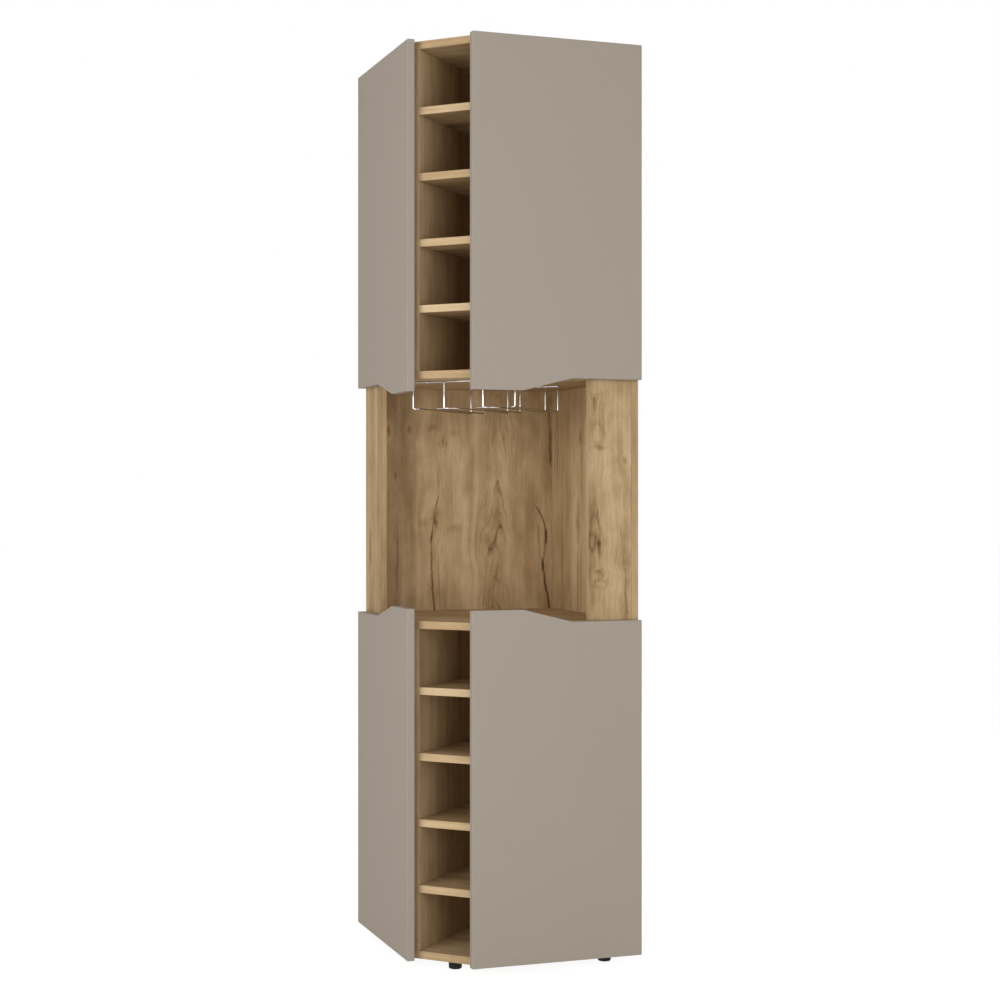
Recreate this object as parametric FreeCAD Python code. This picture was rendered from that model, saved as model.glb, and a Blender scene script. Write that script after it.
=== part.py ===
import FreeCAD, Part
import math
import os

os.makedirs("parts", exist_ok=True)

V = FreeCAD.Vector

# Lengths below this count as none when edges are picked out.
TOUCH = 1e-4

# Overall sizes of the corner cabinet, in millimetres.
# The footprint is a square whose two back sides stand against the room walls.
SIDE = 450.0
HEIGHT = 1800.0
BOARD = 15.0
FOOT_HEIGHT = 20.0
NICHE_HEIGHT = 470.0
EDGE_EASE = 0.5

# Bottle column across the front corner, seen along the diagonal of the footprint.
BOTTLE_WIDTH = 120.0
BOTTLE_ROWS = 5
COLUMN_DEPTH = 300.0
COLUMN_BACK = 3.0

# Doors, with the stepped lip beside the column that serves as a finger pull.
DOOR_GAP = 2.5
DOOR_OVERHANG = 25.0
DOOR_ROUND = 1.2
LIP_DROP = 25.0
LIP_LENGTH = 105.0
LIP_SLOPE = 100.0

# Posts beside the open niche, and the shelf inside each door compartment.
POST_WIDTH = 90.0
SHELF_SETBACK = 20.0
SHELF_CLEARANCE = 0.5
SHELF_TIP = 15.0
SHELF_PIN_R = 2.5
SHELF_PIN_OUT = 8.0
SHELF_PIN_IN = 9.0
SHELF_PIN_FRONT = 30.0
SHELF_PIN_BACK = 200.0
COLUMN_PIN_FRONT = 80.0
COLUMN_PIN_BACK = 50.0

# Concealed hinge: distances inward from the hinged edge (a) and from the outer face (b) of the door.
HINGE_INSET = 95.0
PIVOT_A = 7.0
PIVOT_B = 6.2
PIN_R = 1.0
PIN_CLEARANCE = 0.05
EYE_R = 2.2
EYE_HALF = 3.5
CUP_R = 17.5
CUP_RIM = 3.0
CUP_SKIN = 3.0
CUP_WALL = 1.0
CUP_FLANGE = 1.0
WING_OFFSET = 6.0
WING_HALF_WIDTH = 7.5
WING_HALF_SPAN = 31.0
WING_ROUND = 6.0
ARM_THICK = 2.0
NECK_THICK = 3.0
NECK_GAP = 6.0
CHANNEL_DEPTH = 10.0
CHANNEL_HALF = 6.0
CHANNEL_START = 22.0
CHANNEL_LENGTH = 58.0
CHANNEL_WALL = 1.5
CHANNEL_ROUND = 1.2
PLATE_THICK = 2.5
PLATE_START = 28.0
PLATE_LENGTH = 46.0
PLATE_HALF = 10.0
PLATE_WING_HALF = 24.0
PLATE_WING_LENGTH = 16.0
PLATE_ROUND = 4.0

# Hanging rack of bent wire for stemmed glasses, under the upper case.
WIRE_R = 1.5
RISER_R = 2.0
STEM_SLOT = 28.0
STEM_PITCH = 85.0
RACK_FRONT = 174.0
RACK_BACK_CLEARANCE = 103.0
RACK_DROP = 54.0
END_REACH = 12.0
END_BEND_R = 9.0
RISER_BEND_R = 3.5
FOOT_BEND_R = 2.8
CLIP_WALL = 1.2
CLIP_HALF = 4.0
CLIP_EAR = 14.0
FRONT_CLIP_U = 78.0

# Feet, and the dowels that locate the boards of the case.
FOOT_TOP_R = 13.4
FOOT_BOTTOM_R = 12.8
FOOT_ROUND = 2.2
FOOT_SPIGOT_R = 4.0
FOOT_SPIGOT = 10.0
FOOT_SETBACK = 38.0
FOOT_SIDE_INSET = 39.5
FOOT_FRONT_INSET = 42.0
FOOT_BACK_INSET = 40.0
DOWEL_R = 4.0
DOWEL_IN_BOARD = 10.0
DOWEL_IN_PIECE = 20.0
DOWEL_INSET = 50.0
POST_DOWEL_INSET = 20.0

# Planes and heights that follow from the sizes above.
ROOT2 = math.sqrt(2.0)
HALF = SIDE / 2.0
WALL_IN = HALF - BOARD
DOOR_BACK = BOARD - HALF
FRONT = DOOR_BACK + DOOR_GAP
COLUMN_HALF = BOTTLE_WIDTH / 2.0 + BOARD
CHAMFER = COLUMN_HALF * ROOT2
COLUMN_FRONT = (2.0 * (FRONT + HALF) + CHAMFER) / ROOT2
COLUMN_END = COLUMN_FRONT + COLUMN_DEPTH
CASE_HEIGHT = (HEIGHT - FOOT_HEIGHT - NICHE_HEIGHT) / 2.0
LOWER_BOTTOM = FOOT_HEIGHT
LOWER_TOP = LOWER_BOTTOM + CASE_HEIGHT
UPPER_BOTTOM = LOWER_TOP + NICHE_HEIGHT
UPPER_TOP = HEIGHT
BOTTLE_CLEAR = (CASE_HEIGHT - (BOTTLE_ROWS + 1) * BOARD) / BOTTLE_ROWS
DOOR_NEAR = FRONT + CHAMFER - DOOR_OVERHANG
CUP_A = CUP_RIM + CUP_R
RAIL_IN = STEM_SLOT / 2.0
RAIL_OUT = STEM_PITCH - STEM_SLOT / 2.0
RAIL_END = STEM_PITCH + STEM_SLOT / 2.0
RAIL_Z = UPPER_BOTTOM - RACK_DROP
BAR_Z = UPPER_BOTTOM - WIRE_R
RACK_REAR = (WALL_IN + HALF) * ROOT2 - RAIL_END - RACK_BACK_CLEARANCE
DIAGONAL = FreeCAD.Placement(V(-HALF, -HALF, 0.0), FreeCAD.Rotation(V(0.0, 0.0, 1.0), -45.0))


def export(name, shape):
    """Write one named piece of the cabinet."""
    shape.exportStep("parts/" + name + ".step")


def box(low, high):
    """Return the box between two opposite corners."""
    return Part.makeBox(high[0] - low[0], high[1] - low[1], high[2] - low[2], V(*low))


def prism(points, low, high):
    """Return a flat polygon of the plan, raised between two heights."""
    corners = [V(x, y, low) for x, y in points]
    face = Part.Face(Part.makePolygon(corners + corners[:1]))
    return face.extrude(V(0.0, 0.0, high - low))


def rod(start, end, radius):
    """Return a round bar between two points."""
    axis = V(*end) - V(*start)
    return Part.makeCylinder(radius, axis.Length, V(*start), axis)


def eased(shape):
    """Return a board with its sharp edges taken off."""
    return shape.makeChamfer(EDGE_EASE, shape.Edges)


def on_diagonal(shape):
    """Place a shape made across and along the diagonal into the room's frame."""
    placed = shape.copy()
    placed.Placement = DIAGONAL.multiply(placed.Placement)
    return placed


def mirrored(shape):
    """Return the twin of a right-hand piece on the other side of the diagonal."""
    return shape.mirror(V(0.0, 0.0, 0.0), V(1.0, -1.0, 0.0))


def both_hands(shapes):
    """Return right-hand shapes together with their left-hand twins."""
    return shapes + [mirrored(shape) for shape in shapes]


def bored(shape, tools):
    """Return a piece with the seats of its fasteners cut out."""
    return shape.cut(Part.makeCompound(tools))


def rounded_path(points, radii):
    """Return a wire through the points, with each inner corner bent to its radius."""
    corners = [V(*point) for point in points]
    edges = []
    last = corners[0]
    for index, radius in enumerate(radii):
        corner = corners[index + 1]
        back = (corners[index] - corner).normalize()
        ahead = (corners[index + 2] - corner).normalize()
        start = corner + back * radius
        end = corner + ahead * radius
        middle = corner + (back + ahead) * (radius * (1.0 - 1.0 / ROOT2))
        if (start - last).Length > TOUCH:
            edges.append(Part.makeLine(last, start))
        edges.append(Part.Arc(start, middle, end).toShape())
        last = end
    if (corners[-1] - last).Length > TOUCH:
        edges.append(Part.makeLine(last, corners[-1]))
    return Part.Wire(edges)


def bent_wire(points, radii):
    """Return a round wire that is swept along a bent path."""
    path = rounded_path(points, radii)
    along = V(*points[1]) - V(*points[0])
    ring = Part.Wire(Part.makeCircle(WIRE_R, V(*points[0]), along))
    return path.makePipeShell([ring], True, False)


def case_plan():
    """Return the five-sided plan shared by all four case boards."""
    near = FRONT + CHAMFER
    return [(FRONT, near), (near, FRONT), (WALL_IN, FRONT), (WALL_IN, WALL_IN), (FRONT, WALL_IN)]


# Heights of the case boards, and the two cases that they close.
BOARD_LEVELS = {
    "base_board": LOWER_BOTTOM,
    "counter_board": LOWER_TOP - BOARD,
    "upper_base_board": UPPER_BOTTOM,
    "top_board": UPPER_TOP - BOARD,
}
CASES = {
    "lower": LOWER_BOTTOM,
    "upper": UPPER_BOTTOM,
}
DOOR_SPANS = {
    "lower": (LOWER_BOTTOM, LOWER_TOP, LIP_DROP),
    "upper": (UPPER_TOP, UPPER_BOTTOM, -LIP_DROP),
}


def hinge_heights(case):
    """Return the heights of the two hinges of the doors on one case."""
    bottom = CASES[case]
    return [bottom + HINGE_INSET, bottom + CASE_HEIGHT - HINGE_INSET]


def door_point(a, b, z):
    """Return the place a mm in from the hinged edge and b mm in from the outer face of a right door."""
    return (HALF - a, b - HALF, z)


def door_box(a_span, b_span, z_span):
    """Return a box given by its spans in the door's own distances."""
    low = door_point(a_span[1], b_span[0], z_span[0])
    high = door_point(a_span[0], b_span[1], z_span[1])
    return box(low, high)


def rounded_along(shape, axis, radius):
    """Return a box whose four edges along one axis are rounded."""
    edges = [edge for edge in shape.Edges if edge.tangentAt(edge.FirstParameter).cross(axis).Length < TOUCH]
    return shape.makeFillet(radius, edges)


def hinge_pin(z):
    """Return the pivot pin, whose ends sit in the wall of the cup."""
    half = math.sqrt((CUP_R - CUP_WALL / 4.0) ** 2 - (CUP_A - PIVOT_A + PIN_R) ** 2)
    return rod(door_point(PIVOT_A, PIVOT_B, z - half), door_point(PIVOT_A, PIVOT_B, z + half), PIN_R)


def hinge_cup(z):
    """Return the pressed cup with its two screw wings."""
    seat = BOARD + CUP_FLANGE
    outer = rod(door_point(CUP_A, CUP_SKIN, z), door_point(CUP_A, seat, z), CUP_R)
    middle = CUP_A + WING_OFFSET
    plain_wing = door_box(
        (middle - WING_HALF_WIDTH, middle + WING_HALF_WIDTH),
        (BOARD, seat),
        (z - WING_HALF_SPAN, z + WING_HALF_SPAN),
    )
    wing = rounded_along(plain_wing, V(0.0, 1.0, 0.0), WING_ROUND)
    inner_start = door_point(CUP_A, CUP_SKIN + CUP_WALL, z)
    inner = rod(inner_start, door_point(CUP_A, seat + CUP_FLANGE, z), CUP_R - CUP_WALL)
    return bored(outer.fuse(wing).removeSplitter(), [inner, hinge_pin(z)])


def hinge_arm(z):
    """Return the goose-necked arm, with its eye round the pin and its pressed channel inside the case."""
    eye = rod(
        door_point(PIVOT_A, PIVOT_B, z - EYE_HALF),
        door_point(PIVOT_A, PIVOT_B, z + EYE_HALF),
        EYE_R,
    )
    neck_near = BOARD + NECK_GAP
    neck_far = neck_near + NECK_THICK
    tongue_low = PIVOT_B - ARM_THICK / 2.0 - (EYE_R - ARM_THICK) / 2.0
    eye_span = (z - EYE_HALF, z + EYE_HALF)
    tongue = door_box((PIVOT_A, neck_far), (tongue_low, tongue_low + ARM_THICK), eye_span)
    neck = door_box((neck_near, neck_far), (tongue_low, CHANNEL_START + NECK_GAP), eye_span)
    channel_near = BOARD + PLATE_THICK
    channel_far = channel_near + CHANNEL_DEPTH
    channel_end = CHANNEL_START + CHANNEL_LENGTH
    block = door_box(
        (channel_near, channel_far),
        (CHANNEL_START, channel_end),
        (z - CHANNEL_HALF, z + CHANNEL_HALF),
    )
    ridge = door_point(channel_far, CHANNEL_START, z)[0]
    rim = [edge for edge in block.Edges if edge.BoundBox.XMax < ridge + TOUCH]
    inner_half = CHANNEL_HALF - CHANNEL_WALL
    hollow = door_box(
        (channel_near, channel_far - CHANNEL_WALL),
        (CHANNEL_START + NECK_GAP, channel_end),
        (z - inner_half, z + inner_half),
    )
    channel = block.makeFillet(CHANNEL_ROUND, rim).cut(hollow)
    bore = rod(
        door_point(PIVOT_A, PIVOT_B, z - 2.0 * EYE_HALF),
        door_point(PIVOT_A, PIVOT_B, z + 2.0 * EYE_HALF),
        PIN_R + PIN_CLEARANCE,
    )
    return eye.fuse([tongue, neck, channel]).removeSplitter().cut(bore)


def hinge_plate(z):
    """Return the cross-shaped plate under a hinge arm."""
    a_span = (BOARD, BOARD + PLATE_THICK)
    middle = PLATE_START + PLATE_LENGTH / 2.0
    through = V(1.0, 0.0, 0.0)
    stem = door_box(a_span, (PLATE_START, PLATE_START + PLATE_LENGTH), (z - PLATE_HALF, z + PLATE_HALF))
    wing = door_box(
        a_span,
        (middle - PLATE_WING_LENGTH / 2.0, middle + PLATE_WING_LENGTH / 2.0),
        (z - PLATE_WING_HALF, z + PLATE_WING_HALF),
    )
    rounded_stem = rounded_along(stem, through, PLATE_ROUND)
    return rounded_stem.fuse(rounded_along(wing, through, PLATE_ROUND)).removeSplitter()


def door_blank(case):
    """Return a right-hand door with its stepped lip and rounded edges, before the hinges are let in."""
    plain, flat, drop = DOOR_SPANS[case]
    lip_end = DOOR_NEAR + LIP_LENGTH
    outline = [
        (DOOR_NEAR, plain),
        (HALF, plain),
        (HALF, flat),
        (lip_end + LIP_SLOPE, flat),
        (lip_end, flat + drop),
        (DOOR_NEAR, flat + drop),
    ]
    corners = [V(x, -HALF, z) for x, z in outline]
    face = Part.Face(Part.makePolygon(corners + corners[:1]))
    slab = face.extrude(V(0.0, BOARD, 0.0))
    return slab.makeFillet(DOOR_ROUND, slab.Edges)


def door_panel(case):
    """Return a right-hand door with the seats of its hinge cups."""
    tools = []
    for z in hinge_heights(case):
        tools.append(rod(door_point(CUP_A, CUP_SKIN, z), door_point(CUP_A, 2.0 * BOARD, z), CUP_R))
    return bored(door_blank(case), tools)


def compartment_shelf_height(case):
    """Return the underside of the shelf in a door compartment."""
    return CASES[case] + (CASE_HEIGHT - BOARD) / 2.0


def compartment_shelf(case):
    """Return the three-cornered shelf behind a right-hand door."""
    front = FRONT + SHELF_SETBACK
    wall = WALL_IN - SHELF_CLEARANCE
    offset = CHAMFER + SHELF_CLEARANCE * ROOT2
    tip = front + offset + SHELF_TIP
    back = wall - offset - SHELF_TIP
    plan = [
        (tip, front),
        (wall, front),
        (wall, back),
        (wall - SHELF_TIP, back),
        (tip, front + SHELF_TIP),
    ]
    low = compartment_shelf_height(case)
    return eased(prism(plan, low, low + BOARD))


def wall_pins(case):
    """Return the shelf pins in the right wall panel."""
    z = compartment_shelf_height(case) - SHELF_PIN_R
    front = FRONT + SHELF_SETBACK
    pins = []
    for reach in (SHELF_PIN_FRONT, SHELF_PIN_BACK):
        y = front + reach
        pins.append(rod((WALL_IN - SHELF_PIN_OUT, y, z), (WALL_IN + SHELF_PIN_IN, y, z), SHELF_PIN_R))
    return pins


def partition_pins(case):
    """Return the shelf pins in the right-hand partition of the bottle column."""
    z = compartment_shelf_height(case) - SHELF_PIN_R
    pins = []
    for v in (COLUMN_FRONT + COLUMN_PIN_FRONT, COLUMN_END - COLUMN_PIN_BACK):
        start = (COLUMN_HALF - SHELF_PIN_IN, v, z)
        end = (COLUMN_HALF + SHELF_PIN_OUT, v, z)
        pins.append(on_diagonal(rod(start, end, SHELF_PIN_R)))
    return pins


def partition_dowels(case):
    """Return the dowels at both ends of the right-hand partition of one case."""
    u = COLUMN_HALF - BOARD / 2.0
    low = CASES[case] + BOARD
    high = CASES[case] + CASE_HEIGHT - BOARD
    dowels = []
    for reach in (DOWEL_INSET, COLUMN_DEPTH - DOWEL_INSET):
        v = COLUMN_FRONT + reach
        bottom = rod((u, v, low - DOWEL_IN_BOARD), (u, v, low + DOWEL_IN_PIECE), DOWEL_R)
        top = rod((u, v, high - DOWEL_IN_PIECE), (u, v, high + DOWEL_IN_BOARD), DOWEL_R)
        dowels += [on_diagonal(bottom), on_diagonal(top)]
    return dowels


def post_dowels():
    """Return the dowels at both ends of the right-hand niche post."""
    y = FRONT + BOARD / 2.0
    dowels = []
    for x in (WALL_IN - POST_WIDTH + POST_DOWEL_INSET, WALL_IN - POST_DOWEL_INSET):
        bottom = rod((x, y, LOWER_TOP - DOWEL_IN_BOARD), (x, y, LOWER_TOP + DOWEL_IN_PIECE), DOWEL_R)
        top = rod((x, y, UPPER_BOTTOM - DOWEL_IN_PIECE), (x, y, UPPER_BOTTOM + DOWEL_IN_BOARD), DOWEL_R)
        dowels += [bottom, top]
    return dowels


# Pins and dowels come first, because the boards are bored to take them.
CASE_NAMES = list(CASES)
all_wall_pins = {case: wall_pins(case) for case in CASE_NAMES}
all_partition_pins = {case: partition_pins(case) for case in CASE_NAMES}
column_dowels = {case: both_hands(partition_dowels(case)) for case in CASE_NAMES}
niche_dowels = both_hands(post_dowels())
every_dowel = column_dowels["lower"] + column_dowels["upper"] + niche_dowels


def foot(x, y):
    """Return one push-in foot with the spigot that holds it in the base board."""
    cone = Part.makeCone(FOOT_BOTTOM_R, FOOT_TOP_R, FOOT_HEIGHT, V(x, y, 0.0))
    low_edges = [edge for edge in cone.Edges if edge.BoundBox.ZMax < FOOT_ROUND]
    body = cone.makeFillet(FOOT_ROUND, low_edges)
    spigot = rod((x, y, FOOT_HEIGHT), (x, y, FOOT_HEIGHT + FOOT_SPIGOT), FOOT_SPIGOT_R)
    return body.fuse(spigot).removeSplitter()


front_foot_place = on_diagonal(Part.Vertex(V(0.0, COLUMN_FRONT + FOOT_SETBACK, 0.0))).Point
right_foot = foot(WALL_IN - FOOT_SIDE_INSET, FRONT + FOOT_FRONT_INSET)
back_foot = foot(WALL_IN - FOOT_BACK_INSET, WALL_IN - FOOT_BACK_INSET)
feet = both_hands([right_foot]) + [foot(front_foot_place.x, front_foot_place.y), back_foot]


# Rack wires, each welded end shaped to the bar that it meets.
LOOP_MIDDLE = (RAIL_IN + RAIL_OUT) / 2.0
LOOP_BEND_R = (RAIL_OUT - RAIL_IN) / 2.0
END_U = RAIL_END + END_REACH
front_bar = rod((-END_U - WIRE_R, RACK_FRONT, BAR_Z), (END_U + WIRE_R, RACK_FRONT, BAR_Z), WIRE_R)
rear_bar = rod((-RAIL_END - WIRE_R, RACK_REAR, BAR_Z), (RAIL_END + WIRE_R, RACK_REAR, BAR_Z), WIRE_R)
bars = Part.makeCompound([front_bar, rear_bar])


def rack_loop():
    """Return the right-hand hairpin wire between two stem slots, with its risers."""
    points = [
        (RAIL_IN, RACK_REAR, BAR_Z),
        (RAIL_IN, RACK_REAR, RAIL_Z),
        (RAIL_IN, RACK_FRONT, RAIL_Z),
        (RAIL_OUT, RACK_FRONT, RAIL_Z),
        (RAIL_OUT, RACK_REAR, RAIL_Z),
        (RAIL_OUT, RACK_REAR, BAR_Z),
    ]
    hairpin = bent_wire(points, [RISER_BEND_R, LOOP_BEND_R, LOOP_BEND_R, RISER_BEND_R])
    weld = BAR_Z - WIRE_R / 2.0
    riser = rod((LOOP_MIDDLE, RACK_FRONT, RAIL_Z), (LOOP_MIDDLE, RACK_FRONT, weld), RISER_R)
    return hairpin.fuse(riser).cut(bars)


def rack_end():
    """Return the right-hand outer rail, turned out to its front riser."""
    points = [
        (RAIL_END, RACK_REAR, BAR_Z),
        (RAIL_END, RACK_REAR, RAIL_Z),
        (RAIL_END, RACK_FRONT, RAIL_Z),
        (END_U, RACK_FRONT, RAIL_Z),
        (END_U, RACK_FRONT, BAR_Z),
    ]
    return bent_wire(points, [RISER_BEND_R, END_BEND_R, FOOT_BEND_R]).cut(bars)


def rack_clip(u, v):
    """Return one clip that straps a bar of the rack to the board above it."""
    tube = rod((u - CLIP_HALF, v, BAR_Z), (u + CLIP_HALF, v, BAR_Z), WIRE_R + CLIP_WALL)
    above = UPPER_BOTTOM + WIRE_R + CLIP_WALL
    reach = WIRE_R + CLIP_WALL
    cap = box((u - 2.0 * CLIP_HALF, v - reach, UPPER_BOTTOM), (u + 2.0 * CLIP_HALF, v + reach, above))
    ear = box((u - CLIP_HALF, v, UPPER_BOTTOM - CLIP_WALL), (u + CLIP_HALF, v + CLIP_EAR, UPPER_BOTTOM))
    strap = tube.cut(cap).fuse(ear).removeSplitter()
    mouth = box((u - 2.0 * CLIP_HALF, v - WIRE_R, BAR_Z), (u + 2.0 * CLIP_HALF, v + WIRE_R, above))
    bar = rod((u - 2.0 * CLIP_HALF, v, BAR_Z), (u + 2.0 * CLIP_HALF, v, BAR_Z), WIRE_R)
    return strap.cut(bar.fuse(mouth))


CLIP_PLACES = [
    (-FRONT_CLIP_U, RACK_FRONT),
    (FRONT_CLIP_U, RACK_FRONT),
    (-LOOP_MIDDLE, RACK_REAR),
    (LOOP_MIDDLE, RACK_REAR),
]
export("rack_front_bar", on_diagonal(front_bar))
export("rack_rear_bar", on_diagonal(rear_bar))
right_loop = on_diagonal(rack_loop())
export("rack_loop_right", right_loop)
export("rack_loop_left", mirrored(right_loop))
right_end = on_diagonal(rack_end())
export("rack_end_right", right_end)
export("rack_end_left", mirrored(right_end))
export("rack_clips", Part.makeCompound([on_diagonal(rack_clip(u, v)) for u, v in CLIP_PLACES]))

# Wall panels: the right one runs through at the room corner, the back one butts against it.
right_pins = all_wall_pins["lower"] + all_wall_pins["upper"]
right_wall = eased(box((WALL_IN, FRONT, LOWER_BOTTOM), (HALF, HALF, UPPER_TOP)))
export("right_wall_panel", bored(right_wall, right_pins))
back_wall = eased(box((FRONT, WALL_IN, LOWER_BOTTOM), (WALL_IN, HALF, UPPER_TOP)))
export("back_wall_panel", bored(back_wall, [mirrored(pin) for pin in right_pins]))

# Case boards, all cut to the same five-sided plan.
for name, level in BOARD_LEVELS.items():
    tools = every_dowel
    if name == "base_board":
        tools = tools + feet
    export(name, bored(eased(prism(case_plan(), level, level + BOARD)), tools))

# Bottle column of each case: two partitions, a thin back and the bottle shelves.
for case, bottom in CASES.items():
    low = bottom + BOARD
    high = bottom + CASE_HEIGHT - BOARD
    slab = box((COLUMN_HALF - BOARD, COLUMN_FRONT, low), (COLUMN_HALF, COLUMN_END, high))
    tools = partition_dowels(case) + all_partition_pins[case]
    right_partition = bored(on_diagonal(eased(slab)), tools)
    export(case + "_partition_right", right_partition)
    export(case + "_partition_left", mirrored(right_partition))
    back = box((-COLUMN_HALF, COLUMN_END, low), (COLUMN_HALF, COLUMN_END + COLUMN_BACK, high))
    export(case + "_column_back", on_diagonal(back))
    for row in range(1, BOTTLE_ROWS):
        level = bottom + row * (BOARD + BOTTLE_CLEAR)
        reach = COLUMN_HALF - BOARD
        shelf = box((-reach, COLUMN_FRONT, level), (reach, COLUMN_END, level + BOARD))
        export(case + "_bottle_shelf_" + str(row), on_diagonal(eased(shelf)))

# Posts beside the niche.
post = eased(box((WALL_IN - POST_WIDTH, FRONT, LOWER_TOP), (WALL_IN, FRONT + BOARD, UPPER_BOTTOM)))
right_post = bored(post, post_dowels())
export("niche_post_right", right_post)
export("niche_post_left", mirrored(right_post))

# Compartment shelves and the pins that they lie on.
shelf_pins = []
for case in CASE_NAMES:
    shelf = compartment_shelf(case)
    export(case + "_shelf_right", shelf)
    export(case + "_shelf_left", mirrored(shelf))
    shelf_pins += both_hands(all_wall_pins[case] + all_partition_pins[case])
export("shelf_pins", Part.makeCompound(shelf_pins))

# Doors with the half of each hinge that swings with them.
arms = []
plates = []
for case in CASE_NAMES:
    heights = hinge_heights(case)
    panel = door_panel(case)
    cups = Part.makeCompound([hinge_cup(z) for z in heights])
    pins = Part.makeCompound([hinge_pin(z) for z in heights])
    export(case + "_door_right", panel)
    export(case + "_door_left", mirrored(panel))
    export(case + "_hinge_cups_right", cups)
    export(case + "_hinge_cups_left", mirrored(cups))
    export(case + "_hinge_pins_right", pins)
    export(case + "_hinge_pins_left", mirrored(pins))
    arms += [hinge_arm(z) for z in heights]
    plates += [hinge_plate(z) for z in heights]
export("hinge_arms", Part.makeCompound(both_hands(arms)))
export("hinge_plates", Part.makeCompound(both_hands(plates)))

# Feet and dowels.
export("feet", Part.makeCompound(feet))
export("dowels", Part.makeCompound(every_dowel))
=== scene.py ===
"""Looks of a tall corner bar cabinet: rustic oak boards, taupe lacquered doors and a chrome stemware rack."""

import logging
import math
from dataclasses import dataclass
from enum import Enum
from typing import Any, Sequence, Union

import bmesh
import bpy
from bmesh.types import BMEdge, BMesh, BMVert
from bpy.types import ID, Material, Mesh, Node, NodeSocket, NodeTree, Object
from mathutils import Matrix, Vector


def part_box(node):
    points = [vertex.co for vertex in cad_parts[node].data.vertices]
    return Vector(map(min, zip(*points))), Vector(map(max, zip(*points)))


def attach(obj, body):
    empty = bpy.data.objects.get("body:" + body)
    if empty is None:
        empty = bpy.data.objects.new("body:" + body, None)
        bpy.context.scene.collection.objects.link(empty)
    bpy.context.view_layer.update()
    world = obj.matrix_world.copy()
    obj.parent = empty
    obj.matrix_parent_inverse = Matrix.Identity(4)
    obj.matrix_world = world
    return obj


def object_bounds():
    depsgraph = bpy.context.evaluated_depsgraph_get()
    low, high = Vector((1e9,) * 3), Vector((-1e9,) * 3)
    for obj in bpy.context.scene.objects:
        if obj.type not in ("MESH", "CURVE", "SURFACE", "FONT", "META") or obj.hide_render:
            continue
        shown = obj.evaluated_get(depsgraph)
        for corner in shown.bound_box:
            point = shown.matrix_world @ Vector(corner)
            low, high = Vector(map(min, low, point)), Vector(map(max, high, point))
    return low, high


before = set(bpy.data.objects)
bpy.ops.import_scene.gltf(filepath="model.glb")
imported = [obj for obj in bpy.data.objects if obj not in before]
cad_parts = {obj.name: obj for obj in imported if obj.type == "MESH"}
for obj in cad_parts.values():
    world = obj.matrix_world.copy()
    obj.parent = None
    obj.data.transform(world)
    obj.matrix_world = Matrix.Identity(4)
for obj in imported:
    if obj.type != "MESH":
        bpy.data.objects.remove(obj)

CAD_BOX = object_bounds()
LOG = logging.getLogger("corner_bar_cabinet")
HALF_DIAGONAL = math.sqrt(0.5)
TO_LEFT = (-1.0, 0.0, 0.0)
TO_RIGHT = (1.0, 0.0, 0.0)
TO_FRONT = (0.0, -1.0, 0.0)
TO_BACK = (0.0, 1.0, 0.0)
TO_CORNER = (-1.0, -1.0, 0.0)
UPWARD = (0.0, 0.0, 1.0)
DOWNWARD = (0.0, 0.0, -1.0)
WHITE = (1.0, 1.0, 1.0)
SAME_FACING = 0.95
HANDS = ("right", "left")

Colour = tuple[float, float, float]
Point = tuple[float, float, float]
Feed = Union["Flow", NodeSocket, float, Sequence[float]]


def linear(red: int, green: int, blue: int) -> Colour:
    """Turns a display colour into scene-linear values.

    Args:
        red: Red from 0 to 255.
        green: Green from 0 to 255.
        blue: Blue from 0 to 255.

    Returns:
        The three linear values.
    """
    def channel(value: int) -> float:
        """Gives one channel's linear value."""
        share = value / 255.0
        return share / 12.92 if share <= 0.04045 else ((share + 0.055) / 1.055) ** 2.4

    return channel(red), channel(green), channel(blue)


def opaque(colour: Colour) -> tuple[float, ...]:
    """Adds full alpha to a colour."""
    return (*colour, 1.0)


class Grain(Enum):
    """How a board's fibres lie: its across, through and along directions in the row frame."""

    UPRIGHT_BACK = ((1.0, 0.0, 0.0), (0.0, 1.0, 0.0), (0.0, 0.0, 1.0))
    UPRIGHT_SIDE = ((0.0, 1.0, 0.0), (-1.0, 0.0, 0.0), (0.0, 0.0, 1.0))
    UPRIGHT_PARTITION = (
        (HALF_DIAGONAL, HALF_DIAGONAL, 0.0), (-HALF_DIAGONAL, HALF_DIAGONAL, 0.0), (0.0, 0.0, 1.0))
    UPRIGHT_COLUMN = (
        (HALF_DIAGONAL, -HALF_DIAGONAL, 0.0), (HALF_DIAGONAL, HALF_DIAGONAL, 0.0), (0.0, 0.0, 1.0))
    LEVEL_COLUMN = (
        (HALF_DIAGONAL, HALF_DIAGONAL, 0.0), (0.0, 0.0, 1.0), (HALF_DIAGONAL, -HALF_DIAGONAL, 0.0))
    LEVEL_RIGHT = ((0.0, 1.0, 0.0), (0.0, 0.0, 1.0), (1.0, 0.0, 0.0))
    LEVEL_LEFT = ((1.0, 0.0, 0.0), (0.0, 0.0, -1.0), (0.0, 1.0, 0.0))

    def turn(self) -> tuple[float, float, float]:
        """Gives the Mapping rotation that lays the fibres along local Z."""
        return tuple(Matrix(self.value).to_euler("XYZ"))


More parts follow.
